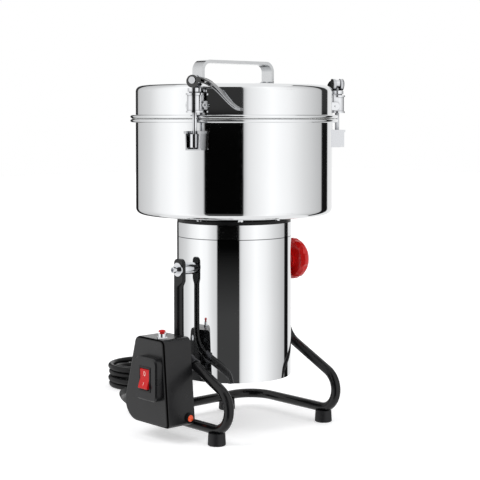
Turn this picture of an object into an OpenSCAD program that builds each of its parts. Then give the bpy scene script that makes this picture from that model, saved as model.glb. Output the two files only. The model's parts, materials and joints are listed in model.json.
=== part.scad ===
// Electric grain mill: a tilting steel bowl over a motor, on a bent bar stand.
// Millimetres, +Z up, +X along the tilt axis towards the clamp knob, -Y is the front.
// The origin is on the floor, under the motor's axis.

/* [Stand] */
// Diameter of the bent steel bar
bar_d = 12; // [10:0.5:13]
// Distance from the middle plane to each side frame
side_x = 90.6; // [90:0.5:94]
// Height of the bar's middle in the base
base_z = 18; // [16:0.5:19]
// Bend radius of the front hairpins
hairpin_r = 26; // [22:1:28]
// How far in front of the posts the hairpins are centred
hairpin_y = 67; // [62:1:72]
// Angle of the sloping bar above the floor
slope = 26; // [22:1:30]
// Bend radius where the slope turns into the post
knee_r = 35; // [28:1:38]
// Bend radius of the rear corners
corner_r = 36; // [30:1:40]
// How far behind the posts the rear bar runs
rear_y = 64; // [60:1:70]
// Width of the flattened post end
flat_w = 18; // [16:0.5:20]
// Thickness of the flattened post end
flat_t = 5; // [4:0.5:6]
// Diameter of each rubber foot
foot_d = 22; // [20:0.5:26]
// Distance of each rear foot from the middle plane
rear_foot_x = 44; // [30:1:50]

/* [Pivot] */
// Height of the tilt axis
pivot_z = 204; // [200:1:206]
// Diameter of the pivot bolt and of the clamp stud
pivot_d = 8; // [6:0.5:9]
// Diameter of the bosses on the motor
boss_d = 15; // [14:0.5:17]
// Diameter of the washers
washer_d = 17; // [16:0.5:19]
// Thickness of the washers
washer_t = 1.6; // [1:0.2:2]
// Diameter of the clamp knob over its lobes
knob_d = 54; // [48:1:56]
// Thickness of the clamp knob
knob_t = 19; // [16:1:22]
// Lobes on the clamp knob
knob_lobes = 8; // [6:1:10]

/* [Motor] */
// Diameter of the motor housing
motor_d = 145.2; // [143:0.2:146]
// Height of the housing's lower end
motor_z0 = 65.5; // [62:0.5:70]
// Height of the housing's upper end
motor_z1 = 259; // [256:0.5:262]
// Wall of the housing
motor_wall = 1.6; // [1:0.2:2.4]
// Thickness of the black mounting ring
ring_t = 10; // [8:0.5:12]
// Diameter of the motor shaft
shaft_d = 12; // [10:0.5:14]
// Outer diameter of the ball bearings
bearing_d = 32; // [30:1:35]
// Width of the ball bearings
bearing_w = 10; // [8:0.5:11]
// Length of the iron core
core_h = 70; // [60:1:80]
// Outer diameter of the armature
armature_d = 74; // [68:1:78]
// Air gap around the armature
air_gap = 0.8; // [0.5:0.1:1.2]

/* [Bowl] */
// Outer diameter of the bowl and of the lid
bowl_d = 248.4; // [247:0.2:250]
// Wall of the bowl and of the lid
bowl_wall = 1.6; // [1:0.2:2.2]
// Inside height of the bowl, from its floor to its rim
bowl_h = 118; // [114:1:121]
// Outer corner radius round the bowl's floor
bowl_r = 8; // [6:0.5:14]
// How far the rolled rims of the bowl and the lid stand out from the wall
rim_out = 6.8; // [6:0.1:7.6]
// Height of each rolled rim
rim_h = 4.6; // [4:0.2:5.2]

/* [Lid] */
// Height of the lid above its rim
lid_h = 37; // [34:0.5:40]
// Corner radius round the lid's top
lid_r = 8; // [5:0.5:10]
// Length of the handle between the middles of its legs
handle_l = 117; // [100:1:124]
// Height of the handle above the lid
handle_h = 31; // [28:0.5:36]
// Width of the handle strap
handle_w = 19; // [16:0.5:22]
// Thickness of the handle strap
handle_t = 4; // [3:0.2:4.4]
// Bend radius of the handle, outside
handle_r = 13; // [10:0.5:15]
// Diameter of the lid's hinge pin
hinge_d = 4; // [3:0.5:5]

/* [Latches] */
// Distance of the latch rods from the bowl's wall
rod_gap = 12.2; // [12:0.2:13]
// Diameter of the latch rods
rod_d = 5.5; // [5:0.5:6]
// Diameter of the latch sleeve
sleeve_d = 18; // [16:0.5:18]
// Height of the latch sleeve
sleeve_h = 20.5; // [18:0.5:22]
// Reach of the cam lever from its pin to its tip
lever_l = 58; // [52:1:62]
// Drop of the cam lever from its pin to its tip
lever_drop = 34; // [30:1:34]
// Diameter of the lever's round cam
cam_d = 15; // [14:0.5:16]
// How far the cam is off the pin's centre
cam_off = 1.2; // [0.8:0.1:1.5]
// Diameter of the pins in the latches
latch_pin_d = 5; // [4:0.5:5]

/* [Blades] */
// Reach of the blades across the bowl
blade_l = 218; // [180:1:225]
// Width of each blade
blade_w = 24; // [18:1:30]
// Thickness of each blade
blade_t = 3; // [2.4:0.2:4]
// Distance between the lower and the upper blade
blade_step = 34; // [28:1:40]

/* [Control box] */
// Width of the control box, across the tilt axis
box_w = 42; // [40:0.5:44]
// Height of the box's floor
box_z0 = 20; // [18:0.5:22]
// Height of the box's top
box_z1 = 125; // [122:0.5:127]
// Front of the box at its floor
box_front = 38; // [36:0.5:40]
// How far the front leans back at the top
box_lean = 8; // [6:0.5:10]
// Back of the box at its top
box_back = 27; // [24:0.5:30]
// How much deeper the box is at its belly
box_belly = 20; // [16:0.5:22]
// Wall of the control box
box_wall = 2.4; // [2:0.2:3]
// Raised height of the switch panel
panel_t = 10; // [8:0.5:11]
// Width of the switch panel
panel_w = 43; // [40:0.5:46]
// Height of the switch panel
panel_h = 52; // [48:1:56]
// Width of the rocker
rocker_w = 17; // [15:0.5:18]
// Height of the rocker
rocker_h = 24; // [22:0.5:26]
// Tilt of the rocker, either way
rocker_tilt = 9; // [6:1:10]
// Travel of the reset button
reset_travel = 2; // [1.5:0.1:2.2]

/* [Cord] */
// Diameter of the mains cord
cord_d = 8; // [7:0.2:8.2]
// Height where the cord leaves the box
cord_z = 42; // [40:1:46]
// Diameter of the plug
plug_d = 38; // [36:1:38]

/* [Hidden] */
$fn = 64;
eps = 0.01;
// Clearances: between bodies, and of a shaft in its hole
gap = 0.4;
run = 0.05;
// Bend of the stand's side frames, worked out from the slope
bar_r = bar_d / 2;
hair_z = base_z + hairpin_r;
tan_y = -hairpin_y - hairpin_r * sin(slope);
tan_z = hair_z + hairpin_r * cos(slope);
vertex_z = tan_z - tan_y * tan(slope);
knee_t = knee_r * tan((90 - slope) / 2);
slope_l = -tan_y / cos(slope) - knee_t;
post_z0 = vertex_z + knee_t;
flat_z0 = pivot_z - 13;
post_z1 = flat_z0 - 9;
flat_z1 = pivot_z + 13;
foot_h = base_z - bar_r + 3;
flat_jog = 1.6;
// Places along the tilt axis
flat_x = side_x - flat_jog;
flat_in = flat_x - flat_t / 2;
flat_out = flat_x + flat_t / 2;
motor_r = motor_d / 2;
// Heights above the motor
ring_z = motor_z1;
bowl_z0 = ring_z + ring_t;
floor_z = bowl_z0 + bowl_wall;
rim_z0 = floor_z + bowl_h - rim_h;
rim_z1 = floor_z + bowl_h;
lid_z0 = rim_z1 + gap;
lid_z1 = lid_z0 + rim_h + lid_h;
bowl_or = bowl_d / 2;
rim_r = bowl_or + rim_out;
// Motor insides
cap_t = 12;
core_z = motor_z0 + 52;
low_bear_z = motor_z0 + 10;
top_bear_z = motor_z1 - bearing_w - 2;
shaft_z1 = floor_z + 22 + blade_step + 20;
// Blades
blade_z = floor_z + 22;
// Latches
rod_x = bowl_or + rod_gap;
latch_at = [-151.3, -28.7];
pin_x = -5;
sleeve_z0 = lid_z0 + rim_h + 2.4;
sleeve_z1 = sleeve_z0 + sleeve_h;
seat_z = sleeve_z1 + 8;
eye_z = seat_z + gap + cam_d / 2 + cam_off;
swing_z = sleeve_z0 + sleeve_h * 0.42;
catch_z = rim_z0 - 9.5;
catch_t = 3;
nut_d = 12.8;
slot_w = nut_d + 1.2;
// Rear hinge of the lid
hinge_y = rim_r + 8;
hinge_z = rim_z1;
// Control box
box_x1 = -(side_x + bar_r + gap);
box_x0 = box_x1 - box_w;
cover_t = 3;
panel_y = -7;
panel_z = (box_z0 + box_z1) / 2 + 5;
rock_x = box_x0 - panel_t - 1;
lamp_x = box_x1 - 8.5;
lamp_z = box_z0 + 9;
reset_x = box_x0 + 11;
reset_y = -14;
gland_x = box_x1 - 6;
gland_l = 26;

handle_bolt_x = handle_l / 2 - handle_t / 2 - 5.5;
knuckle_r = hinge_d / 2 + 3;
knuckle_w = 12;
body_w = rocker_w + 4;
body_h = rocker_h + 6;
lamp_y = -box_front + box_lean * (lamp_z - box_z0) / (box_z1 - box_z0);
lamp_r = 6.5;
barrel_r = 5;
gland_r = 6.5;
gland_y0 = box_back + box_belly;
clamp_reach = 14;
rock_pin_r = 1.5;
barrel_top = box_z1 + 6;

// Shared shapes
module tube(r1, r2, h) {
  difference() { cylinder(r = r1, h = h); translate([0, 0, -1]) cylinder(r = r2, h = h + 2); }
}
// A bar along +X
module rod_along_x(r, x0, x1) {
  translate([x0, 0, 0]) rotate([0, 90, 0]) cylinder(r = r, h = x1 - x0);
}
// A bar along +Y
module rod_along_y(r, y0, y1) {
  translate([0, y1, 0]) rotate([90, 0, 0]) cylinder(r = r, h = y1 - y0);
}
// A bent piece of round bar, from angle a through angle sweep, about +Z
module bend(r, bar, a, sweep) {
  rotate([0, 0, a]) rotate_extrude(angle = sweep, $fn = 96) translate([r, 0]) circle(r = bar, $fn = 32);
}
module hex_bolt(r, h, washer_r, washer_h) {
  cylinder(r = washer_r, h = washer_h);
  translate([0, 0, washer_h]) cylinder(r = r, h = h, $fn = 6);
}
module round_rect(w, h, r) {
  hull() for (x = [-w / 2 + r, w / 2 - r], y = [-h / 2 + r, h / 2 - r]) translate([x, y])
    circle(r = r, $fn = 32);
}

// Stand
// The bar's line runs from the tip of a post to the rear bar. Each station holds its point, its way
// along and its side way, then the half sizes and the corner radius of its section.
bar_s = [bar_r, bar_r, bar_r];
flat_s = [flat_t / 2, flat_w / 2, 1.2];
tip_r = 6;
function upright(y, z, a, s = bar_s, x = side_x) = [[x, y, z], [0, cos(a), sin(a)], [1, 0, 0], s];
tip_line = [for (b = [90:-18:0]) upright(0, flat_z1 - tip_r * (1 - sin(b)), -90,
  flat_s - [0, tip_r * (1 - cos(b)), 0], flat_x)];
taper_line = [for (i = [0:6]) let (u = soft_step(i / 6))
  upright(0, flat_z0 - (flat_z0 - post_z1) * i / 6, -90, (1 - u) * flat_s + u * bar_s,
    flat_x + u * flat_jog)];
knee_line = [for (i = [0:9]) let (a = (slope - 90) * i / 9)
  upright(knee_r * (cos(a) - 1), post_z0 + knee_r * sin(a), a - 90)];
hairpin_line = [for (i = [0:18]) let (a = 90 + slope + (180 - slope) * i / 18)
  upright(hairpin_r * cos(a) - hairpin_y, hair_z + hairpin_r * sin(a), a + 90)];
corner_line = [for (i = [0:12]) let (a = 90 * i / 12)
  [[side_x - corner_r * (1 - cos(a)), rear_y - corner_r * (1 - sin(a)), base_z], [-sin(a), cos(a), 0],
    [cos(a), sin(a), 0], bar_s]];
half_line = concat(tip_line, taper_line, knee_line, hairpin_line, corner_line);
bar_sides = 32;
// The section at a station: a rectangle with round corners, or a circle where the corners fill it
function section(q) = let (w = cross(q[2], q[1]), s = q[3], r = s[2] / cos(180 / bar_sides))
  [for (k = [0:bar_sides - 1]) let (a = 360 / bar_sides * (k + 0.5)) q[0]
    + (sign(cos(a)) * (s[0] - s[2]) + r * cos(a)) * q[2] + (sign(sin(a)) * (s[1] - s[2]) + r * sin(a))
      * w];
half_bar = [for (q = half_line) section(q)];
module stand_bar() {
  far_half = [for (i = [len(half_bar) - 1:-1:0]) [for (p = half_bar[i]) [-p[0], p[1], p[2]]]];
  color("#1c1c1e") difference() {
    skin(concat(half_bar, far_half));
    translate([0, 0, pivot_z]) for (s = [-1, 1]) translate([s * side_x, 0, 0])
      rod_along_x(pivot_d / 2 + run, -flat_t, flat_t);
  }
}
module foot_blank() {
  rotate_extrude() polygon([[0, 0], [foot_d / 2 - 1, 0], [foot_d / 2, 1], [foot_d / 2 - 0.8, foot_h],
    [0, foot_h]]);
}
module rubber_feet() {
  color("#202022") difference() {
    union() {
      for (s = [-1, 1]) {
        translate([s * side_x, -hairpin_y - 4, 0]) foot_blank();
        translate([s * rear_foot_x, rear_y, 0]) foot_blank();
      }
    }
    for (s = [-1, 1]) translate([s * side_x, 0, 0]) {
      translate([0, 0, base_z]) rod_along_y(bar_r + run, -hairpin_y, 0);
      translate([0, -hairpin_y, hair_z]) rotate([90, 0, 90])
        bend(hairpin_r, bar_r + run, 90 + slope, 180 - slope);
    }
    translate([0, rear_y, base_z]) rod_along_x(bar_r + run, -side_x, side_x);
  }
}

// Pivot
module pivot_bolt() {
  head = 7.5;
  socket_d = 5;
  color("#c9ccd0") translate([0, 0, pivot_z]) difference() {
    union() {
      rod_along_x(pivot_d / 2, -flat_out - washer_t - head, -motor_r - 2);
      rod_along_x(pivot_d / 2 + 1, -flat_out - washer_t - 2.5, -flat_out - washer_t);
    }
    rod_along_x(socket_d / 2, -flat_out - washer_t - head - 1, -flat_out - washer_t - 2);
  }
}
module pivot_washers() {
  color("#d4d6da") translate([0, 0, pivot_z]) difference() {
    union() {
      rod_along_x(washer_d / 2, -flat_out - washer_t, -flat_out);
      rod_along_x(washer_d / 2, flat_out, flat_out + washer_t);
    }
    rod_along_x(pivot_d / 2 + run, -side_x - 9, side_x + 9);
  }
}
module clamp_stud() {
  color("#c9ccd0") translate([0, 0, pivot_z])
    rod_along_x(pivot_d / 2, motor_r + 2, flat_out + washer_t + knob_t - 5);
}
// A dished knob: shallow flutes round its edge, and a sunk ring with dimples round its hub
module clamp_knob() {
  r = knob_d / 2;
  hub_h = 4;
  hub_r = r * 0.45;
  flute_r = r * 0.3;
  flute_t = 1.3;
  ring_r = r * 0.46;
  color("#c3141c") translate([flat_out + washer_t, 0, pivot_z]) rotate([0, 90, 0]) difference() {
    rotate_extrude($fn = 96) polygon([[0, 0], [hub_r, 0], [hub_r, hub_h], [r - 4, hub_h], [r, hub_h + 4],
      [r, knob_t - 6], [r - 2.5, knob_t - 2], [r - 7, knob_t], [r - 10, knob_t - 0.8],
        [r - 12, knob_t - 4],
      [r * 0.36, knob_t - 4.5], [r * 0.3, knob_t - 2], [0, knob_t - 1.4]]);
    for (i = [0:knob_lobes - 1]) rotate([0, 0, (i + 0.5) * 360 / knob_lobes]) {
      translate([r + flute_r - flute_t, 0, hub_h - 1]) cylinder(r = flute_r, h = knob_t);
      translate([ring_r, 0, knob_t - 6]) cylinder(r = 1.8, h = 8);
    }
    translate([0, 0, -1]) cylinder(r = pivot_d / 2, h = knob_t - 4);
  }
}
module pivot_bosses() {
  color("#c9ccd0") translate([0, 0, pivot_z]) difference() {
    for (s = [0, 1]) mirror([s, 0, 0]) rod_along_x(boss_d / 2, motor_r - 1.5, flat_in);
    for (s = [0, 1]) mirror([s, 0, 0]) rod_along_x(pivot_d / 2 + run, motor_r - 3, side_x);
    translate([0, 0, -boss_d]) cylinder(r = motor_r, h = 2 * boss_d, $fn = 128);
  }
}

// Motor
module motor_housing() {
  color("#d9dbde") difference() {
    translate([0, 0, motor_z0]) cylinder(r = motor_r, h = motor_z1 - motor_z0, $fn = 128);
    translate([0, 0, motor_z0 - 1]) cylinder(r = motor_r - motor_wall, h = motor_z1 - motor_z0 + 2,
      $fn = 128);
  }
}
// The base closes the housing from below, with rings of cooling slots and the shaft's lower bearing seat
module motor_base() {
  inner = motor_r - motor_wall;
  plate = 3;
  slots = 24;
  color("#26272a") translate([0, 0, motor_z0]) difference() {
    union() {
      cylinder(r = inner, h = plate);
      tube(inner, inner - 3, cap_t);
      cylinder(r = bearing_d / 2 + 4, h = 10 + bearing_w);
      for (i = [0:3]) rotate([0, 0, 45 + 90 * i]) translate([0, -2, 0]) cube([inner - 1, 4, cap_t - 2]);
    }
    translate([0, 0, 10]) cylinder(r = bearing_d / 2, h = bearing_w + 5);
    translate([0, 0, -1]) cylinder(r = shaft_d / 2 + 2, h = 30);
    for (i = [0:slots - 1]) if (i % 6 != 3) rotate([0, 0, i * 360 / slots])
      translate([bearing_d / 2 + 9, -1.8, -1]) cube([inner - bearing_d / 2 - 18, 3.6, plate + 2]);
    for (i = [0:3]) rotate([0, 0, 45 + 90 * i]) translate([inner - 8, 0, -1]) cylinder(r = 2, h = cap_t);
  }
}
module base_screws() {
  inner = motor_r - motor_wall;
  color("#c9ccd0") for (i = [0:3]) rotate([0, 0, 45 + 90 * i]) translate([inner - 8, 0, motor_z0]) {
    difference() {
      translate([0, 0, -2]) cylinder(r = 3.6, h = 2);
      translate([-2.6, -0.5, -3]) cube([5.2, 1, 2]);
      translate([-0.5, -2.6, -3]) cube([1, 5.2, 2]);
    }
    cylinder(r = 2, h = 9);
  }
}
// The cap closes the housing from above and holds the upper bearing, with ribs from its hub to its skirt
module motor_cap() {
  inner = motor_r - motor_wall;
  hub_r = bearing_d / 2 + 4;
  hub_z = -bearing_w - 5;
  seat_r = bearing_d / 2;
  plate = 4;
  color("#9a9da2") translate([0, 0, motor_z1]) {
    rotate_extrude($fn = 128) polygon([[shaft_d / 2 + 2, 0], [inner, 0], [inner, -cap_t],
      [inner - 4, -cap_t],
      [inner - 4, -plate], [hub_r, -plate], [hub_r, hub_z], [seat_r, hub_z], [seat_r, -2],
        [shaft_d / 2 + 2, -2]]);
    for (i = [0:5]) rotate([0, 0, 60 * i + 30]) translate([hub_r - 2, -2, 1 - cap_t])
      cube([inner - hub_r, 4, cap_t - 2]);
  }
}
module mounting_ring() {
  color("#1d1d1f") translate([0, 0, ring_z]) difference() {
    union() {
      cylinder(r = motor_r - 0.6, h = 4);
      cylinder(r = motor_r - 9, h = ring_t);
    }
    translate([0, 0, -1]) cylinder(r = 24, h = ring_t + 2);
    for (i = [0:7]) rotate([0, 0, 45 * i + 12]) translate([motor_r - 20, -5, -1])
      cylinder(r = 3, h = ring_t + 2);
  }
}
module ring_bolts() {
  color("#dadce0") for (i = [0:7]) rotate([0, 0, 45 * i + 10]) translate([motor_r - 4.6, 0, ring_z + 4])
    hex_bolt(3.5, 3, 4, 0.8);
}
// A closed ball bearing: both races show round a sunk shield, and the bore runs on the shaft
module ball_bearing() {
  race = (bearing_d - shaft_d) / 2 * 0.3;
  difference() {
    tube(bearing_d / 2, shaft_d / 2 + run, bearing_w);
    for (z = [-1, bearing_w - 0.8]) translate([0, 0, z])
      tube(bearing_d / 2 - race, shaft_d / 2 + race, 1.8);
  }
}
module lower_bearing() { color("#b9bcc1") translate([0, 0, low_bear_z]) ball_bearing(); }
module upper_bearing() { color("#b9bcc1") translate([0, 0, top_bear_z]) ball_bearing(); }
module stator_core() {
  inner = motor_r - motor_wall;
  color("#6d6f73") translate([0, 0, core_z]) difference() {
    cylinder(r = inner, h = core_h);
    translate([0, 0, -1]) cylinder(r = armature_d / 2 + air_gap, h = core_h + 2);
    for (s = [0, 1]) mirror([0, s, 0]) coil_room(1);
  }
}
// Where a field coil lies, beside the armature
module coil_room(over) {
  translate([-24, armature_d / 2 + 6, -over]) cube([48, 14, core_h + 2 * over]);
}
module stator_coils() {
  over = 12;
  color("#b4642e") translate([0, 0, core_z]) for (s = [0, 1]) mirror([0, s, 0]) coil_room(over);
}
module brush_holders() {
  z = core_z + core_h + 22;
  color("#8a6a35") for (s = [0, 1]) mirror([s, 0, 0]) translate([0, 0, z]) {
    translate([17.4, -4, -4]) cube([motor_r - motor_wall - 18.4, 8, 8]);
    translate([30, -7, -6]) cube([motor_r - motor_wall - 32, 14, 2]);
  }
}
module rotor_shaft() {
  thread_l = 16;
  color("#c4c7cc") {
    translate([0, 0, low_bear_z - 2]) cylinder(r = shaft_d / 2, h = shaft_z1 - thread_l - low_bear_z + 2);
    translate([0, 0, shaft_z1 - thread_l]) cylinder(r = shaft_d / 2 - 2, h = thread_l);
  }
}
// The armature: a slotted iron stack with its winding heads
module armature() {
  slots = 12;
  color("#77797d") translate([0, 0, core_z]) difference() {
    union() {
      cylinder(r = armature_d / 2, h = core_h);
      translate([0, 0, -11]) cylinder(r = armature_d / 2 - 7, h = core_h + 22);
    }
    for (i = [0:slots - 1]) rotate([0, 0, i * 360 / slots])
      translate([armature_d / 2 - 5, -1.6, -1]) cube([8, 3.2, core_h + 2]);
    translate([0, 0, -12]) cylinder(r = shaft_d / 2, h = core_h + 24);
  }
}
module commutator() {
  bars = 16;
  color("#b8733a") translate([0, 0, core_z + core_h + 12]) difference() {
    cylinder(r = 17, h = 20);
    for (i = [0:bars - 1]) rotate([0, 0, (i + 0.5) * 360 / bars]) translate([16, -0.4, -1])
      cube([3, 0.8, 22]);
    translate([0, 0, -1]) cylinder(r = shaft_d / 2, h = 22);
  }
}
module cooling_fan() {
  vanes = 11;
  fan_r = motor_r - motor_wall - 9;
  color("#3c3f44") translate([0, 0, low_bear_z + bearing_w + 4]) difference() {
    union() {
      cylinder(r = 12, h = 13);
      cylinder(r = fan_r, h = 2);
      for (i = [0:vanes - 1]) rotate([0, 0, i * 360 / vanes]) translate([10, -1, 0])
        cube([fan_r - 12, 2, 13]);
    }
    translate([0, 0, -1]) cylinder(r = shaft_d / 2, h = 20);
  }
}
module shaft_seal() {
  color("#2a2a2c") translate([0, 0, bowl_z0 - 5]) tube(15, shaft_d / 2 + run, 5 + bowl_wall + 4);
}

// Blades
module blade_bar(bend_up) {
  tip = 26;
  flat_l = blade_l / 2 - tip;
  rise = bend_up ? 16 : -9;
  difference() {
    union() {
      cylinder(r = blade_w / 2 + 3, h = blade_t);
      for (a = [0, 180]) rotate([0, 0, a]) {
        difference() {
          translate([0, -blade_w / 2, 0]) cube([flat_l, blade_w, blade_t]);
          translate([20, blade_w / 2, blade_t * 0.5]) rotate([32, 0, 0]) cube([flat_l, 12, 12]);
        }
        translate([flat_l, blade_w / 2, 0]) rotate([90, 0, 0]) linear_extrude(blade_w)
          polygon([[-0.5, 0], [tip, rise], [tip, rise + blade_t], [-0.5, blade_t]]);
      }
    }
    translate([0, 0, -20]) cylinder(r = shaft_d / 2, h = 60);
  }
}
module lower_blade() { color("#cfd2d6") translate([0, 0, blade_z]) blade_bar(false); }
module upper_blade() {
  color("#cfd2d6") translate([0, 0, blade_z + blade_t + blade_step]) rotate([0, 0, 90]) blade_bar(true);
}
module blade_spacer() {
  color("#b5b8bd") {
    translate([0, 0, floor_z + 5]) tube(12, shaft_d / 2, blade_z - floor_z - 5);
    translate([0, 0, blade_z + blade_t]) tube(12, shaft_d / 2, blade_step);
  }
}
module blade_nut() {
  z = blade_z + 2 * blade_t + blade_step;
  color("#d7d9dd") translate([0, 0, z]) difference() {
    union() {
      cylinder(r = 13, h = 2);
      cylinder(r = 11, h = 12, $fn = 6);
      translate([0, 0, 12]) cylinder(r = 8, h = 4);
    }
    translate([0, 0, -1]) cylinder(r = shaft_d / 2 - 2, h = shaft_z1 - z + 1);
  }
}

// Bowl and lid, each a turned shell
module bowl() {
  ri = bowl_or - bowl_wall;
  color("#e2e4e7") rotate_extrude($fn = 128) difference() {
    union() {
      translate([0, bowl_z0]) square([bowl_or - bowl_r, bowl_wall]);
      translate([bowl_or - bowl_r, bowl_z0 + bowl_r]) intersection() {
        difference() { circle(r = bowl_r); circle(r = bowl_r - bowl_wall); }
        translate([0, -bowl_r]) square(bowl_r);
      }
      translate([ri, bowl_z0 + bowl_r]) square([bowl_wall, rim_z1 - bowl_z0 - bowl_r]);
      rim_profile(rim_z0, rim_z1);
    }
    square([15, 2 * bowl_z0]);
  }
}
// A rolled rim: a flat band with a half-round edge
module rim_profile(z0, z1) {
  h = z1 - z0;
  translate([bowl_or - bowl_wall, z0]) square([rim_r - h / 2 - bowl_or + bowl_wall, h]);
  intersection() {
    translate([rim_r - h / 2, z0 + h / 2]) circle(r = h / 2);
    translate([rim_r - h / 2, z0]) square([h, h]);
  }
}
module lid() {
  color("#e2e4e7") difference() {
    rotate_extrude($fn = 128) difference() {
      union() {
        rim_profile(lid_z0, lid_z0 + rim_h);
        translate([bowl_or - bowl_wall, lid_z0]) square([bowl_wall, lid_z1 - lid_z0 - lid_r]);
        translate([bowl_or - lid_r, lid_z1 - lid_r]) intersection() {
          difference() { circle(r = lid_r); circle(r = lid_r - bowl_wall); }
          square(lid_r);
        }
        translate([0, lid_z1 - bowl_wall]) square([bowl_or - lid_r, bowl_wall]);
      }
      translate([bowl_or + 1, lid_z0 - 1]) square([3.5, 3]);
    }
    for (s = [-1, 1]) translate([s * handle_bolt_x, 0, lid_z1 - 5]) cylinder(r = 2.5, h = 10);
  }
}
module lid_seal() {
  color("#e9e6df") translate([0, 0, lid_z0 - gap * 0.75])
    tube(bowl_or + 4.4, bowl_or + 1.1, 2 + gap * 0.75);
}
// The handle: one strap bent over the lid, with a foot screwed down at each end
module lid_handle() {
  half = handle_l / 2;
  inner_r = handle_r - handle_t;
  foot_l = 15;
  color("#dcdee2") translate([0, 0, lid_z1]) difference() {
    translate([0, handle_w / 2, 0]) rotate([90, 0, 0]) linear_extrude(handle_w) for (s = [0, 1])
      mirror([s, 0]) {
      translate([half - handle_t / 2, handle_t]) square([handle_t, handle_h - handle_r - handle_t]);
      translate([half + handle_t / 2 - handle_r, handle_h - handle_r]) intersection() {
        difference() { circle(r = handle_r); circle(r = inner_r); }
        square(handle_r);
      }
      translate([0, handle_h - handle_t]) square([half + handle_t / 2 - handle_r, handle_t]);
      translate([half - foot_l + handle_t / 2, 0]) square([foot_l, handle_t]);
    }
    for (s = [-1, 1]) translate([s * handle_bolt_x, 0, -1]) cylinder(r = 2.5, h = handle_t + 2);
  }
}
module handle_screws() {
  color("#c9ccd0") for (s = [-1, 1]) translate([s * handle_bolt_x, 0, lid_z1]) {
    translate([0, 0, -bowl_wall - 3]) cylinder(r = 2.5, h = bowl_wall + 3 + handle_t);
    translate([0, 0, handle_t]) intersection() {
      cylinder(r = 4.5, h = 2.4);
      translate([0, 0, -3.2]) sphere(r = 5.6, $fn = 48);
    }
    translate([0, 0, -bowl_wall - 3]) cylinder(r = 4, h = 3, $fn = 6);
  }
}

// Rear hinge: two outer knuckles on the bowl, one between them on the lid, on one pin
module knuckle(x, w, plate_z0, plate_z1, reach) {
  translate([0, hinge_y, hinge_z]) rod_along_x(knuckle_r, x - w / 2, x + w / 2);
  translate([x - w / 2, reach, plate_z0]) cube([w, hinge_y - reach, plate_z1 - plate_z0]);
}
module hinge_lower() {
  color("#c9ccd0") difference() {
    union() {
      for (s = [-1, 1]) knuckle(s * (knuckle_w + gap), knuckle_w, rim_z0 - 4, rim_z0 - 1, bowl_or - 4);
      for (s = [-1, 1]) translate([s * (knuckle_w + gap) - knuckle_w / 2, hinge_y - knuckle_r + 0.2,
        rim_z0 - 4])
        cube([knuckle_w, 3, 6]);
      translate([-1.5 * knuckle_w - gap, bowl_or - 4, rim_z0 - 16])
        cube([3 * knuckle_w + 2 * gap, 6, 15]);
    }
    translate([0, 0, rim_z0 - 20]) cylinder(r = bowl_or, h = 40, $fn = 128);
    translate([0, 0, rim_z0]) cylinder(r = rim_r + 0.01, h = 10, $fn = 128);
    translate([0, hinge_y, hinge_z]) rod_along_x(hinge_d / 2, -2 * knuckle_w, 2 * knuckle_w);
  }
  color("#aeb1b6") translate([0, hinge_y, hinge_z])
    rod_along_x(hinge_d / 2, -1.5 * knuckle_w - 3, 1.5 * knuckle_w + 3);
}
module hinge_upper() {
  z = lid_z0 + rim_h;
  color("#c9ccd0") difference() {
    union() {
      knuckle(0, knuckle_w, z + 1, z + 4, bowl_or - 4);
      translate([-knuckle_w / 2, hinge_y - 3, hinge_z + 1]) cube([knuckle_w, 3, z + 4 - hinge_z - 1]);
      translate([-knuckle_w, bowl_or - 4, z + 1]) cube([2 * knuckle_w, 6, 15]);
    }
    translate([0, 0, z - 20]) cylinder(r = bowl_or, h = 60, $fn = 128);
    translate([0, hinge_y, hinge_z]) rod_along_x(hinge_d / 2 + run, -knuckle_w, knuckle_w);
  }
}

// Latches, drawn about the latch rod: +X is outward, +Y along the wall, Z is the real height
module at_latch(a) { rotate([0, 0, a]) translate([rod_x, 0, 0]) children(); }
module wall_cut(z0, z1) { translate([-rod_x, 0, z0]) cylinder(r = bowl_or, h = z1 - z0, $fn = 128); }
// A tapered catch on the bowl, open in front and above for the barrel nut
module catch() {
  half = 9.5;
  low = 8.8;
  depth = 22.5;
  front = 7;
  wall = 1.5;
  difference() {
    union() {
      translate([-rod_gap - 3, 0, 0]) rotate([90, 0, 90]) linear_extrude(rod_gap + 3 + front)
        polygon([[-half, catch_z], [-low, catch_z - depth], [low, catch_z - depth], [half, catch_z]]);
      translate([-rod_gap - 3, -half - 1, catch_z - catch_t])
        cube([rod_gap + 3 + front + 1, 2 * half + 2, catch_t]);
    }
    translate([-rod_gap - 4, 0, 0]) rotate([90, 0, 90]) linear_extrude(rod_gap + front + 6)
      polygon([[-half + wall, catch_z - catch_t], [-low + wall, catch_z - depth + wall],
        [low - wall, catch_z - depth + wall], [half - wall, catch_z - catch_t]]);
    translate([0, 0, catch_z - depth + wall]) cylinder(r = slot_w / 2, h = depth + 1);
    translate([0, -slot_w / 2, catch_z - depth + wall]) cube([front + 2, slot_w, depth + 1]);
    translate([front, 0, catch_z - depth]) rotate([0, 35, 0]) translate([-4, -half - 2, -12])
      cube([20, 2 * half + 4, 12]);
    wall_cut(catch_z - 30, catch_z + 5);
  }
}
module latch_catches() { color("#d0d3d7") for (a = latch_at) at_latch(a) catch(); }
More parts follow.
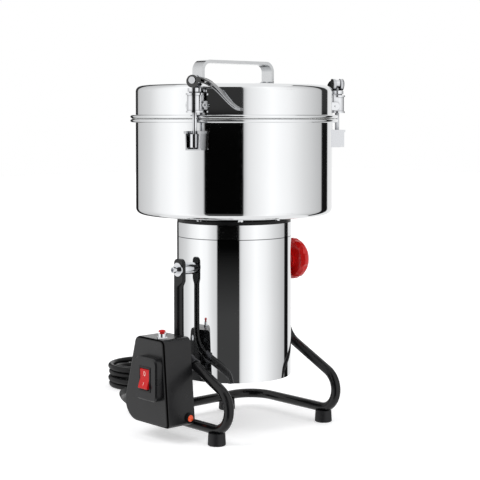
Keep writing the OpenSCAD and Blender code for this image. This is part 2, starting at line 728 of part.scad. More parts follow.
// Two ears and a pin on the lid carry each latch
module ears() {
  ear_t = 2;
  r = 5;
  pin_r = 1.5;
  y0 = sleeve_d / 2 + gap * 0.75;
  difference() {
    for (s = [0, 1]) mirror([0, s, 0]) translate([0, y0 + ear_t, 0]) rotate([90, 0, 0])
      linear_extrude(ear_t) {
      translate([pin_x, swing_z]) circle(r = r);
      translate([-rod_gap - 2, swing_z - r]) square([rod_gap + 2 + pin_x, 2 * r]);
    }
    translate([pin_x, 0, swing_z]) rod_along_y(pin_r, -20, 20);
    wall_cut(swing_z - 10, swing_z + 10);
  }
  translate([pin_x, 0, swing_z]) rod_along_y(pin_r, -y0 - ear_t - 1.4, y0 + ear_t + 1.4);
}
module latch_ears() { color("#c9ccd0") for (a = latch_at) at_latch(a) ears(); }
// The sleeve: a strap bent round the rod, between two plates, under a collar that the cam bears on.
// Its back is flat, so that it clears the lid as it swings.
module sleeve() {
  r = sleeve_d / 2;
  plate = 2.2;
  neck_h = 1.6;
  neck_z = sleeve_z1 + plate;
  difference() {
    union() {
      translate([0, 0, sleeve_z0]) linear_extrude(sleeve_h) sleeve_outline(r);
      translate([0, 0, sleeve_z0]) linear_extrude(plate) sleeve_outline(r + 1.2);
      translate([0, 0, sleeve_z1]) linear_extrude(plate) sleeve_outline(r + 1.4);
      translate([0, 0, neck_z]) linear_extrude(neck_h) sleeve_outline(r - 2.5);
      translate([0, 0, neck_z + neck_h]) linear_extrude(seat_z - neck_z - neck_h)
        intersection() { sleeve_outline(r); circle(r = r - 0.8); }
    }
    translate([pin_x, 0, swing_z]) rod_along_y(1.5 + run, -20, 20);
    translate([0, 0, sleeve_z0 - 1]) cylinder(r = rod_d / 2, h = seat_z - sleeve_z0 + 2);
  }
}
module sleeve_outline(r) {
  back = 7;
  intersection() {
    union() { circle(r = r); translate([-r, -min(r, sleeve_d / 2)])
      square([r, 2 * min(r, sleeve_d / 2)]); }
    translate([-back, -r]) square([back + r, 2 * r]);
  }
}
module latch_sleeve_left() { color("#d6d8dc") at_latch(latch_at[0]) sleeve(); }
module latch_sleeve_right() { color("#d6d8dc") at_latch(latch_at[1]) sleeve(); }
// The rod: an eye above for the lever's pin, and a barrel nut below, inside the catch
module rod() {
  eye_t = 6;
  eye_r = 5.4;
  nut_h = 15.5;
  nut_z = catch_z - catch_t - nut_h - 0.6;
  difference() {
    union() {
      translate([0, 0, nut_z - 1]) cylinder(r = rod_d / 2, h = eye_z - 4 - nut_z);
      translate([0, 0, eye_z]) rod_along_x(eye_r, -eye_t / 2, eye_t / 2);
      translate([0, 0, nut_z]) cylinder(r = nut_d / 2, h = nut_h);
    }
    translate([0, 0, eye_z]) rod_along_x(latch_pin_d / 2, -eye_t, eye_t);
  }
  translate([0, 0, eye_z]) {
    rod_along_x(latch_pin_d / 2, -7.4, 7.4);
    rod_along_x(latch_pin_d / 2 + 1.6, 7.4, 8.8);
  }
}
module latch_rod_left() { color("#b9bcc1") at_latch(latch_at[0]) rod(); }
module latch_rod_right() { color("#b9bcc1") at_latch(latch_at[1]) rod(); }
// The cam lever: an S-shaped arm with a sunk web and two holes, and two cheeks that are round cams
module lever_line(d) {
  l = lever_l;
  h = lever_drop;
  translate([0, 0]) polygon([for (t = [0:1 / 18:1]) lever_point(t, l, h, d), for (t = [1:-1 / 18:0])
    lever_point(t, l, h, -d)]);
}
// The arm's middle line runs level at both ends and steep between; it thins towards the tip
function lever_point(t, l, h, d) =
  let (y = l * t, z = 1.2 * (1 - t) - h * soft_step(pow(t, 1.35)), k = sign(d) * (abs(d) - 1.6 * t))
    [y, z + k];
module lever() {
  cheek_t = 4;
  eye_gap = 3.2;
  arm_w = 11;
  web = 1.6;
  hub_r = cam_d / 2;
  translate([0, 0, eye_z]) difference() {
    union() {
      for (s = [0, 1]) mirror([s, 0, 0]) translate([eye_gap, 0, 0]) rotate([90, 0, 90])
        linear_extrude(cheek_t) {
        translate([0, -cam_off]) circle(r = hub_r);
        intersection() { lever_line(3.4); square([40, 60], center = true); }
      }
      rotate([90, 0, 90]) translate([0, 0, -arm_w / 2]) linear_extrude(arm_w) difference() {
        lever_line(3.2);
        circle(r = hub_r + 1.4);
      }
    }
    for (s = [0, 1]) mirror([s, 0, 0]) translate([web, 0, 0]) rotate([90, 0, 90]) linear_extrude(arm_w)
      difference() {
      lever_line(1.7);
      circle(r = hub_r + 3);
      translate([lever_l - 6, -lever_drop - 10]) square(30);
    }
    for (y = [14, 22]) translate([-10, y, lever_point(y / lever_l, lever_l, lever_drop, 0)[1]])
      rod_along_x(1.6, 0, 20);
    rod_along_x(latch_pin_d / 2 + run, -20, 20);
  }
}
module cam_lever_left() { color("#c4c7cc") at_latch(latch_at[0]) lever(); }
module cam_lever_right() { color("#c4c7cc") at_latch(latch_at[1]) lever(); }

// Control box. Its side outline is four round corners, each [y, z, radius], drawn in by inset
box_corners = [
  [-box_front + 5, box_z0 + 5, 5],
  [-box_front + box_lean + 7, box_z1 - 7, 7],
  [box_back - 8, box_z1 - 8, 8],
  [box_back + box_belly - 24, box_z0 + 24, 24]
];
module box_outline(inset) {
  hull() for (c = box_corners) translate([c[0], c[1]]) circle(r = c[2] - inset, $fn = 48);
}
module box_slab(x0, x1, inset) {
  translate([x0, 0, 0]) rotate([90, 0, 90]) linear_extrude(x1 - x0) box_outline(inset);
}
// The rounded block: slices that swell towards the open side
module box_block() {
  soft = 3;
  hull() {
    box_slab(box_x0, box_x0 + eps, soft);
    box_slab(box_x0 + soft * 0.3, box_x0 + soft * 0.3 + eps, soft * 0.3);
    box_slab(box_x0 + soft, box_x1, 0);
  }
}
module switch_hole(grow) {
  translate([box_x0 - panel_t - 5, panel_y - body_w / 2 - grow, panel_z - body_h / 2 - grow])
    cube([panel_t + 12, body_w + 2 * grow, body_h + 2 * grow]);
}
module control_box() {
  color("#2b2c2f") difference() {
    box_block();
    box_slab(box_x0 + box_wall, box_x1 - cover_t, box_wall);
    box_slab(box_x1 - cover_t - eps, box_x1 + 1, box_wall * 0.5);
    switch_hole(0);
    translate([lamp_x, 0, lamp_z]) rod_along_y(lamp_r, lamp_y - 10, lamp_y + 10);
    translate([reset_x, reset_y, box_z1 - 8]) cylinder(r = barrel_r, h = 20);
    translate([gland_x, 0, cord_z]) rod_along_y(gland_r, gland_y0 - 10, gland_y0 + 10);
  }
}
cover_holes = [[-24, 42], [30, 40], [-19, 113], [16, 113]];
module box_cover() {
  color("#242528") difference() {
    box_slab(box_x1 - cover_t, box_x1, box_wall * 0.5);
    for (c = cover_holes) translate([0, c[0], c[1]]) rod_along_x(1.8, box_x1 - 5, box_x1 + 1);
    clamp_place() translate([0, 0, clamp_reach]) rod_along_x(1.8, -bar_r - gap - 5, 0);
    translate([lamp_x, 0, lamp_z]) rod_along_y(lamp_r + run, lamp_y - 10, lamp_y + 20);
    translate([gland_x, 0, cord_z]) rod_along_y(gland_r + run, gland_y0 - 10, gland_y0 + 10);
  }
}
// One-legged clamps hold the box on the base bar and on the sloping bar
module clamp_place() {
  translate([-side_x, 6, base_z]) children();
  translate([-side_x, tan_y + (slope_l - 7) * cos(slope), tan_z + (slope_l - 7) * sin(slope)])
    rotate([slope, 0, 0]) mirror([0, 0, 1]) children();
}
module box_clamps() {
  w = 12;
  t = 1.6;
  face = -bar_r - gap;
  color("#8d9095") clamp_place() difference() {
    union() {
      intersection() {
        rod_along_y(bar_r + t, -w / 2, w / 2);
        translate([face, -w, -20]) cube([40, 2 * w, 40]);
      }
      translate([face, -w / 2, 0]) cube([-face, w, bar_r + t]);
      translate([face, -w / 2, 0]) cube([t, w, clamp_reach + 5]);
    }
    rod_along_y(bar_r + run, -w, w);
    translate([0, 0, clamp_reach]) rod_along_x(1.8, face - 1, 0);
  }
}
module pan_screw(shank) {
  rod_along_x(1.8, -shank, 0);
  difference() {
    rod_along_x(3.4, 0, 2);
    translate([1.2, -2.4, -0.45]) cube([2, 4.8, 0.9]);
    translate([1.2, -0.45, -2.4]) cube([2, 0.9, 4.8]);
  }
}
module cover_screws() {
  color("#aeb1b6") {
    for (c = cover_holes) translate([box_x1, c[0], c[1]]) pan_screw(8);
    clamp_place() translate([-bar_r - gap + 1.6, 0, clamp_reach]) pan_screw(8);
  }
}
module switch_panel() {
  r = 8;
  soft = 2;
  color("#27282b") difference() {
    hull() {
      panel_slab(box_x0 - panel_t, eps, soft, r);
      panel_slab(box_x0 - panel_t + soft, panel_t - soft, 0, r);
    }
    switch_hole(0);
  }
}
module panel_slab(x, h, inset, r) {
  translate([x, panel_y, panel_z]) rotate([90, 0, 90]) linear_extrude(h)
    for (y = [-1, 1], z = [-1, 1]) translate([y * (panel_w / 2 - r), z * (panel_h / 2 - r)])
      circle(r = r - inset, $fn = 32);
}
module switch_body() {
  lip = 0.8;
  depth = 22;
  x0 = box_x0 - panel_t - lip;
  color("#17181a") translate([0, panel_y, panel_z]) difference() {
    union() {
      translate([x0, -body_w / 2, -body_h / 2]) cube([depth, body_w, body_h]);
      for (z = [-8, 0, 8]) translate([x0 + depth, -3, z - 0.4]) cube([8, 6, 0.8]);
    }
    translate([x0 - 1, -rocker_w / 2 - gap, -rocker_h / 2 - 1.1])
      cube([10, rocker_w + 2 * gap, rocker_h + 2.2]);
    translate([rock_x + 3, 0, 0]) rod_along_y(rock_pin_r + run, -body_w / 2 - 1, body_w / 2 + 1);
  }
}
// The rocker is drawn with its lower end out, turned about its two pins
module rocker() {
  edge = rocker_h / 2;
  color("#d81f26") translate([rock_x + 3, panel_y, panel_z]) rotate([0, rocker_tilt, 0]) {
    translate([0, rocker_w / 2, 0]) rotate([90, 0, 0]) linear_extrude(rocker_w) polygon([[4, -6], [4, 6],
      [-1, edge - 0.5], [-3.6, edge], [-4.4, edge - 1], [-2.4, 0], [-4.4, 1 - edge], [-3.6, -edge],
        [-1, 0.5 - edge]]);
    rod_along_y(rock_pin_r, -rocker_w / 2 - gap - 0.8, rocker_w / 2 + gap + 0.8);
  }
}
module indicator_bezel() {
  color("#121214") translate([lamp_x, 0, lamp_z]) difference() {
    union() {
      rod_along_y(lamp_r, lamp_y - 2.2, lamp_y + 12);
      rod_along_y(lamp_r - 1, lamp_y - 3, lamp_y);
    }
    rod_along_y(4, lamp_y - 4, lamp_y + 8);
  }
}
module indicator_lens() {
  color("#ff5a1f") translate([lamp_x, lamp_y, lamp_z]) rotate([90, 0, 0]) {
    translate([0, 0, -8]) cylinder(r = 4, h = 11);
    intersection() {
      translate([0, 0, -0.5]) sphere(r = 5.3, $fn = 48);
      translate([0, 0, 3 - eps]) cylinder(r = 4, h = 6);
    }
  }
}
module reset_barrel() {
  color("#d4d6da") translate([reset_x, reset_y, 0]) difference() {
    union() {
      translate([0, 0, box_z1 - 12]) cylinder(r = barrel_r, h = barrel_top - box_z1 + 12);
      translate([0, 0, box_z1]) cylinder(r = barrel_r + 1.6, h = 2, $fn = 6);
    }
    translate([0, 0, box_z1 - 6]) cylinder(r = 3 + run, h = 30);
  }
}
module reset_button() {
  color("#cf1c22") translate([reset_x, reset_y, 0]) {
    translate([0, 0, box_z1 - 2]) cylinder(r = 3, h = barrel_top + reset_travel + 1 - box_z1 + 2);
    translate([0, 0, barrel_top + reset_travel + 0.4]) intersection() {
      cylinder(r = 4.4, h = 2.4);
      translate([0, 0, -5]) sphere(r = 7.4, $fn = 48);
    }
  }
}

// Cord
gland_end = gland_y0 + gland_l;
module cord_gland() {
  cord_r = cord_d / 2;
  color("#1a1a1c") translate([gland_x, gland_y0, cord_z]) rotate([-90, 0, 0]) rotate_extrude()
    difference() {
    union() {
      translate([0, -8]) square([gland_r, 10]);
      translate([0, 0.3]) square([gland_r + 2, 2.4]);
      polygon([[0, 2], [gland_r, 2], [cord_r + 0.9, gland_l], [0, gland_l]]);
    }
    for (i = [0:4]) translate([cord_r + 1.3, 5.5 + 4 * i]) square([4, 1.4]);
  }
}
// Points down the middle of the free stretch, chosen by hand: out of the gland, down, and along the floor
low_z = cord_d / 2 * cos(22.5);
cord_way = [
  [gland_x, gland_end, cord_z], [gland_x, gland_end + 9, cord_z], [-101, 96, 40], [-96, 109, 35],
    [-87, 120.5, 28],
  [-75.5, 129, 19.5], [-63, 136, 12], [-50, 143.5, 6.5], [-37, 151, 4.2], [-22, 159.5, low_z],
    [-5, 169.5, low_z],
  [12, 179, low_z], [29, 189, low_z], [46, 198.5, low_z]
];
coil_c = [55, 262];
coil_turns = 6;
coil_layer = 1.5;
coil_steps = 24;
coil_step = cord_d + 0.7;
coil_r0 = 50.5;
coil_a0 = -60;
coil_z0 = cord_d / 2 * cos(30);
coil_lead = 10;
function coil_fold(t) = let (p = t % (2 * coil_layer)) min(p, 2 * coil_layer - p);
function soft_step(u) = let (v = min(max(u, 0), 1)) v * v * (3 - 2 * v);
function coil_rise(t, i) = i == 0 ? 0 : soft_step((t - i * coil_layer + 0.25) * 2) + coil_rise(t, i - 1);
coil_layers = ceil(coil_turns / coil_layer) - 1;
function coil_point(t) = let (r = coil_r0 - coil_step * coil_fold(t), a = coil_a0 + 360 * t)
  [coil_c[0] + r * cos(a), coil_c[1] + r * sin(a), coil_z0 + coil_step * coil_rise(t, coil_layers)];
coil_dir = [cos(coil_a0 + 90), sin(coil_a0 + 90), 0];
coil_in = coil_point(0) - coil_lead * coil_dir;
coil_out = coil_point(coil_turns) + coil_lead * coil_dir;
coil_line = concat([coil_in], [for (i = [0:coil_turns * coil_steps]) coil_point(i / coil_steps)],
  [coil_out]);
run_line = concat(cord_way, [coil_in + [0, 0, low_z - coil_z0]]);
tail_l = 44;
tail_end = coil_out + tail_l * coil_dir + [0, 0, plug_d / 2 - coil_out[2]];
tail_line = concat([coil_out, coil_out + 4 * coil_dir], [for (u = [0.2:0.15:0.95])
  coil_out + tail_l * u * coil_dir + [0, 0, (plug_d / 2 - coil_out[2]) * soft_step(u)]], [tail_end]);
// A tube along a line of points; its rings stand square to the line, with a flat side down
function along(pts, i) = let (a = pts[max(i - 1, 0)], b = pts[min(i + 1, len(pts) - 1)]) (b - a)
  / norm(b - a);
function ring(p, d, r, n) = let (s = cross(d, [0, 0, 1]), u = s / norm(s), w = cross(u, d))
  [for (k = [0:n - 1]) let (a = 360 / n * (k + (n % 4 == 2 ? 0 : 0.5))) p + r * cos(a) * u + r * sin(a)
    * w];
module sweep(pts, r, n) { skin([for (i = [0:len(pts) - 1]) ring(pts[i], along(pts, i), r, n)]); }
// A closed skin over a row of rings that have the same number of points
module skin(rings) {
  m = len(rings);
  n = len(rings[0]);
  faces = concat(
    [for (k = [1:n - 2]) [0, k, k + 1]],
    [for (k = [1:n - 2]) [(m - 1) * n, (m - 1) * n + k + 1, (m - 1) * n + k]],
    [for (i = [0:m - 2], k = [0:n - 1]) [i * n + k, (i + 1) * n + k, i * n + (k + 1) % n]],
    [for (i = [0:m - 2], k = [0:n - 1]) [(i + 1) * n + k, (i + 1) * n + (k + 1) % n, i * n + (k + 1) % n]]
  );
  polyhedron(points = [for (row = rings) each row], faces = faces);
}
module cord_run() { color("#141416") sweep(run_line, cord_d / 2, 8); }
module cord_coil() { color("#141416") sweep(coil_line, cord_d / 2, 6); }
module cord_tail() { color("#141416") sweep(tail_line, cord_d / 2, 8); }
// The least distance between turns, measured on points of the line at least half a turn apart
coil_gap = min([for (i = [0:2:len(coil_line) - 1], j = [i + coil_steps / 2:len(coil_line) - 1])
  norm(coil_line[i] - coil_line[j])]) - cord_d;
function way_l(pts, i = 1) = i >= len(pts) ? 0 : norm(pts[i] - pts[i - 1]) + way_l(pts, i + 1);
echo(coil_gap = coil_gap, cord_length = way_l(run_line) + way_l(coil_line)
  + way_l(tail_line));
module at_plug() { translate(tail_end) rotate([0, 0, coil_a0 + 90]) rotate([0, 90, 0]) children(); }
module plug_body() {
  r = plug_d / 2;
  color("#1a1a1c") at_plug() difference() {
    rotate_extrude($fn = 64) polygon([[0, 0], [cord_d / 2 + 0.8, 0], [7, 20], [12, 22], [13, 34],
      [r - 1, 40], [r, 42],
      [r, 54], [r - 1, 55], [0, 55]]);
    for (i = [0:11]) rotate([0, 0, 30 * i]) translate([14.5, 0, 21]) cylinder(r = 2, h = 14, $fn = 24);
    for (s = [-1, 1]) translate([0, s * 9.5, 40]) cylinder(r = 2.4, h = 20);
  }
}
module plug_pins() {
  color("#c9ccd0") at_plug() for (s = [-1, 1]) translate([0, s * 9.5, 40]) {
    cylinder(r = 2.4, h = 32);
    translate([0, 0, 32]) intersection() { cylinder(r = 2.4, h = 3); translate([0, 0, -1.2])
      sphere(r = 2.7, $fn = 32); }
  }
}

stand_bar();
rubber_feet();
pivot_bolt();
pivot_washers();
clamp_knob();
clamp_stud();
control_box();
box_cover();
cover_screws();
box_clamps();
switch_panel();
switch_body();
rocker();
indicator_bezel();
indicator_lens();
reset_barrel();
reset_button();
cord_gland();
cord_run();
cord_coil();
cord_tail();
plug_body();
plug_pins();
motor_housing();
motor_base();
base_screws();
motor_cap();
mounting_ring();
ring_bolts();
stator_core();
stator_coils();
brush_holders();
upper_bearing();
lower_bearing();
pivot_bosses();
shaft_seal();
rotor_shaft();
armature();
commutator();
cooling_fan();
lower_blade();
blade_spacer();
upper_blade();
blade_nut();
bowl();
latch_catches();
hinge_lower();
hinge_upper();
lid();
lid_seal();
lid_handle();
handle_screws();
latch_ears();
latch_sleeve_left();
latch_sleeve_right();
latch_rod_left();
latch_rod_right();
cam_lever_left();
cam_lever_right();
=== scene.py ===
"""Electric grain mill: looks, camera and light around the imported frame. Metres, +Z up, -Y is the front."""
import json
import math

import bmesh
import bpy
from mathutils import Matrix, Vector


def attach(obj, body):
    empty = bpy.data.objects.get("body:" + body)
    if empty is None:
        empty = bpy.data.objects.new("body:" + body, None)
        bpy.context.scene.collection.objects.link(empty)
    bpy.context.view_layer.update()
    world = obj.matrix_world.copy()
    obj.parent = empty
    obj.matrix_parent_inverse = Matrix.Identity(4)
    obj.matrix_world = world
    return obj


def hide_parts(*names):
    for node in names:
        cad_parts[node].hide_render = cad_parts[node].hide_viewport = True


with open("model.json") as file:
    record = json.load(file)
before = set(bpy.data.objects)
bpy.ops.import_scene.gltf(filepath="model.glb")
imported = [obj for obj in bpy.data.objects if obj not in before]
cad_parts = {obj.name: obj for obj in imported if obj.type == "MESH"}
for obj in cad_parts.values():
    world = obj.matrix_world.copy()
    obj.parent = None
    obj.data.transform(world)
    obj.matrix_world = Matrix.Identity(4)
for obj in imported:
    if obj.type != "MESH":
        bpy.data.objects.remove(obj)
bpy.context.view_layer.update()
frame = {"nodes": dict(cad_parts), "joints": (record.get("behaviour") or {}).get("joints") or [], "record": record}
JOINTS = {joint["name"]: joint for joint in frame["joints"]}
MM = 0.001

# Camera: the view of the photograph, found from its feet, posts and tilt axis. Half of the way down to the
# mill is a shift of the lens and the other half a dip of the camera.
VIEW_AZ = math.radians(-41.6)
EYE_BACK = 1.628
EYE_UP = 0.391
AIM_RIGHT = 0.0076
EYE_LINE_PX = 116.9
SHIFT_PX = -61
FOCAL_PX = 1284.0
FRAME_PX = 480
SENSOR = 36.0


def polar(angle, radius, z=0.0):
    """A point at an angle round the motor's axis, counted from the camera, growing to its right."""
    a = VIEW_AZ - math.pi / 2 + angle
    return Vector((radius * math.cos(a), radius * math.sin(a), z))


def make_camera():
    data = bpy.data.cameras.new("camera")
    data.sensor_width = SENSOR
    data.lens = FOCAL_PX / FRAME_PX * SENSOR
    data.shift_y = SHIFT_PX / FRAME_PX
    dip = (FRAME_PX / 2 - EYE_LINE_PX + SHIFT_PX) / FOCAL_PX
    cam = bpy.data.objects.new("camera", data)
    bpy.context.collection.objects.link(cam)
    cam.location = polar(0, EYE_BACK, EYE_UP)
    right = Vector((math.cos(VIEW_AZ), math.sin(VIEW_AZ), 0))
    aim = right * AIM_RIGHT + Vector((0, 0, EYE_UP - EYE_BACK * dip))
    cam.rotation_euler = (aim - cam.location).to_track_quat("-Z", "Y").to_euler()
    bpy.context.scene.camera = cam


# Cord: the same route as the CAD, one tube from the gland to the plug. Millimetres, but for the radius.
CORD_R = 0.004
REST_Z = 4
GLAND = (-103, 73, 42)
ROUTE = [
    GLAND, (-103, 82, 42), (-101, 96, 40), (-96, 109, 35), (-87, 120.5, 28), (-75.5, 129, 19.5),
    (-63, 136, 12), (-50, 143.5, 6.8), (-37, 151, 4.4), (-22, 159.5, REST_Z), (-5, 169.5, REST_Z),
    (12, 179, REST_Z), (29, 189, REST_Z), (46, 198.5, REST_Z),
]
# The coil winds in and out by turns; each layer has so many turns, and the step is the pitch of both
COIL_C = (55, 262)
COIL_TURNS = 6
COIL_LAYER = 1.5
COIL_STEPS = 24
COIL_STEP = 8.7
COIL_R0 = 50.5
COIL_A0 = -60
COIL_LEAD = 10
TAIL_L = 44
PLUG_Z = 19


def soft_step(u):
    v = min(max(u, 0), 1)
    return v * v * (3 - 2 * v)


def coil_point(t):
    """A place on the coil after t turns. It climbs to the next layer over half a turn."""
    p = t % (2 * COIL_LAYER)
    r = COIL_R0 - COIL_STEP * min(p, 2 * COIL_LAYER - p)
    a = math.radians(COIL_A0 + 360 * t)
    rise = sum(soft_step((t - i * COIL_LAYER + 0.25) * 2) for i in (1, 2, 3))
    return Vector((COIL_C[0] + r * math.cos(a), COIL_C[1] + r * math.sin(a), REST_Z + COIL_STEP * rise))


def cord_points():
    heading = math.radians(COIL_A0 + 90)
    ahead = Vector((math.cos(heading), math.sin(heading), 0))
    points = [Vector(p) for p in ROUTE]
    points.append(coil_point(0) - ahead * COIL_LEAD)
    points += [coil_point(i / COIL_STEPS) for i in range(COIL_TURNS * COIL_STEPS + 1)]
    out = points[-1] + ahead * COIL_LEAD
    drop = Vector((0, 0, PLUG_Z - out.z))
    points += [out + ahead * TAIL_L * u + drop * soft_step(u) for u in (0, 0.2, 0.4, 0.6, 0.8, 1)]
    return [p * MM for p in points]


def make_cord():
    points = cord_points()
    data = bpy.data.curves.new("mains_cord", "CURVE")
    data.dimensions = "3D"
    # A curve's box grows by its knots' radius, so that holds the thickness and the bevel is one whole unit
    data.bevel_depth = 1.0
    data.bevel_resolution = 5
    data.resolution_u = 3
    data.use_fill_caps = True
    spline = data.splines.new("BEZIER")
    spline.bezier_points.add(len(points) - 1)
    before, after = points[:1] + points[:-1], points[1:] + points[-1:]
    for knot, last, point, following in zip(spline.bezier_points, before, points, after):
        knot.handle_left_type = knot.handle_right_type = "FREE"
        knot.co, knot.radius = point, CORD_R
        knot.handle_left = point - (following - last) / 6
        knot.handle_right = point + (following - last) / 6
    cord = bpy.data.objects.new("mains_cord", data)
    bpy.context.collection.objects.link(cord)
    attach(cord, "stand")
    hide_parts("cord_run", "cord_coil", "cord_tail")
    return cord


# Materials
def rgba(color):
    """A colour of three numbers as four; another node's output stays as it is."""
    return (*color, 1) if isinstance(color, tuple) else color


class Graph:
    """A node tree with short ways to add nodes. A value is a number, a colour or another node's output."""

    def __init__(self, tree):
        self.nodes = tree.nodes
        self.links = tree.links

    def put(self, socket, value):
        if isinstance(value, bpy.types.NodeSocket):
            self.links.new(value, socket)
        else:
            socket.default_value = value

    def math(self, operation, *values):
        node = self.nodes.new("ShaderNodeMath")
        node.operation = operation
        for socket, value in zip(node.inputs, values):
            self.put(socket, value)
        return node.outputs[0]

    def vector(self, operation, *values):
        node = self.nodes.new("ShaderNodeVectorMath")
        node.operation = operation
        for socket, value in zip(node.inputs, values):
            self.put(socket, value)
        return node.outputs["Value" if operation == "LENGTH" else "Vector"]

    def split(self, vector):
        node = self.nodes.new("ShaderNodeSeparateXYZ")
        self.put(node.inputs["Vector"], vector)
        return node.outputs

    def span(self, value, low, high, start=0.3, end=0.7):
        """A value between start and end as one between low and high, held at both ends."""
        node = self.nodes.new("ShaderNodeMapRange")
        places = ("Value", "From Min", "From Max", "To Min", "To Max")
        for place, number in zip(places, (value, start, end, low, high)):
            self.put(node.inputs[place], number)
        return node.outputs["Result"]

    def mix(self, share, first, second):
        """The first colour where the share is 0, the second where it is 1."""
        node = self.nodes.new("ShaderNodeMix")
        node.data_type = "RGBA"
        for place, value in ((0, share), (6, rgba(first)), (7, rgba(second))):
            self.put(node.inputs[place], value)
        return node.outputs[2]

    def place(self):
        return self.nodes.new("ShaderNodeTexCoord").outputs["Object"]

    def seen_directly(self):
        """1 for the camera's own rays and for reflections, 0 for the light that falls on things."""
        path = self.nodes.new("ShaderNodeLightPath").outputs
        return self.math("MAXIMUM", path["Is Camera Ray"], path["Is Glossy Ray"])


class Mat(Graph):
    """A Principled material whose textures ride on its object."""

    def __init__(self, name, color, rough, metal=0.0, **more):
        self.mat = bpy.data.materials.new(name)
        self.mat.use_nodes = True
        super().__init__(self.mat.node_tree)
        self.main = self.nodes["Principled BSDF"]
        self.where = self.place()
        self.set("Base Color", rgba(color))
        self.set("Roughness", rough)
        self.set("Metallic", metal)
        for key, value in more.items():
            self.set(key.replace("_", " "), value)

    def set(self, name, value):
        self.put(self.main.inputs[name], value)

    def noise(self, scale, detail=3, stretch=(1, 1, 1)):
        place = self.nodes.new("ShaderNodeMapping")
        self.put(place.inputs["Vector"], self.where)
        self.put(place.inputs["Scale"], stretch)
        noise = self.nodes.new("ShaderNodeTexNoise")
        self.put(noise.inputs["Vector"], place.outputs["Vector"])
        self.put(noise.inputs["Scale"], scale)
        self.put(noise.inputs["Detail"], detail)
        return noise.outputs["Fac"]

    def cloud(self, first, second, scale, detail=2, stretch=(1, 1, 1)):
        """Two colours mixed by soft noise."""
        return self.mix(self.span(self.noise(scale, detail, stretch), 0, 1), first, second)

    def away_from(self, axis, place):
        """How far a point is from a plane across X, Y or Z."""
        return self.math("ABSOLUTE", self.math("SUBTRACT", self.split(self.where)[axis], place))

    def bump(self, value, depth, strength):
        node = self.nodes.new("ShaderNodeBump")
        self.put(node.inputs["Distance"], depth)
        self.put(node.inputs["Strength"], strength)
        self.put(node.inputs["Height"], value)
        self.set("Normal", node.outputs["Normal"])


MIRROR = (0.80, 0.81, 0.82)
PLATING = (0.74, 0.75, 0.77)
# Height of the seam round the motor, and where the switch face's parting line runs on the box
MOTOR_SEAM_Z = 0.2410
MOTOR_SEAM_HALF = 0.0003
BOX_SEAM_X = -0.1376
BOX_SEAM_HALF = 0.0006
# A cam lever, from its pin: where its round cheeks end, and over what reach its root's painted shade turns to
# painted highlight
CHEEK_END = (0.0090, 0.0096)
ROOT_END = (0.016, 0.038)
# And from its middle plane: where the arm's rails begin, and where the cheeks' end faces take painted shade
RAIL_START = (0.0048, 0.0053)
CHEEK_FACE = (0.0058, 0.0066)


def darker(color, share):
    return tuple(c * share for c in color)


def polished(name, color=MIRROR, low=0.03, high=0.07):
    m = Mat(name, color, low, 1.0)
    m.set("Roughness", m.span(m.noise(14, 4, (1, 1, 0.2)), low, high))
    m.set("Base Color", m.cloud(color, darker(color, 0.97), 9))
    m.bump(m.noise(900, 2, (1, 1, 0.06)), 0.00001, 0.25)
    return m.mat


def brushed(name, color, stretch, low=0.22, high=0.36):
    m = Mat(name, color, low, 1.0)
    grain = m.noise(500, 3, stretch)
    m.set("Roughness", m.span(grain, low, high))
    m.set("Base Color", m.cloud(color, darker(color, 0.9), 120, 3, stretch))
    m.bump(grain, 0.00003, 0.4)
    return m.mat


def moulded(name, color, low, high, grain=1400, depth=0.00004, shine=0.5):
    m = Mat(name, color, low, Specular_IOR_Level=shine)
    m.set("Roughness", m.span(m.noise(60, 3), low, high))
    m.set("Base Color", m.cloud(color, tuple(min(1, c * 1.25 + 0.004) for c in color), 25, 3))
    m.bump(m.noise(grain, 2), depth, 0.5)
    return m.mat


def motor_steel():
    """Polished, with a dark seam round the motor and a finely brushed band above it."""
    soft = 0.0002
    m = Mat("motor_steel", MIRROR, 0.04, 1.0)
    off_seam = m.span(m.away_from("Z", MOTOR_SEAM_Z), 0, 1, MOTOR_SEAM_HALF, 2 * MOTOR_SEAM_HALF)
    m.set("Base Color", m.mix(off_seam, (0.08, 0.08, 0.09), m.cloud(MIRROR, (0.77, 0.78, 0.79), 9)))
    m.set("Roughness", m.span(m.split(m.where)["Z"], 0.04, 0.09, MOTOR_SEAM_Z - soft, MOTOR_SEAM_Z + soft))
    m.bump(m.noise(800, 2, (0.05, 0.05, 1)), 0.00001, 0.3)
    return m.mat


def box_satin():
    """Satin black plastic, with a dark parting line behind its switch face."""
    m = Mat("box_satin", (0.008, 0.008, 0.009), 0.3, Coat_Roughness=0.12)
    away = m.away_from("X", BOX_SEAM_X)
    seam = (BOX_SEAM_HALF, 2 * BOX_SEAM_HALF)
    grey = m.cloud((0.0065, 0.0065, 0.0075), (0.010, 0.010, 0.011), 25)
    m.set("Base Color", m.mix(m.span(away, 0, 1, *seam), (0.001, 0.001, 0.001), grey))
    m.set("Specular IOR Level", m.span(away, 0, 0.32, *seam))
    m.set("Coat Weight", m.span(away, 0, 0.12, *seam))
    m.set("Roughness", m.span(m.noise(60, 3), 0.26, 0.36))
    m.bump(m.noise(1800, 2), 0.00004, 0.5)
    return m.mat


def latch_steel():
    """Bright plating that darkens where its small pieces shade each other."""
    m = Mat("latch_polish", (0.72, 0.73, 0.75), 0.06, 1.0)
    shade = m.nodes.new("ShaderNodeAmbientOcclusion")
    m.put(shade.inputs["Distance"], 0.009)
    open_air = m.span(shade.outputs["AO"], 0, 1, 0.25, 0.95)
    m.set("Base Color", m.mix(open_air, (0.10, 0.10, 0.11), m.cloud(PLATING, (0.66, 0.67, 0.69), 90)))
    m.set("Roughness", m.span(m.noise(120, 3), 0.05, 0.12))
    m.bump(m.noise(700, 2), 0.00001, 0.3)
    return m.mat


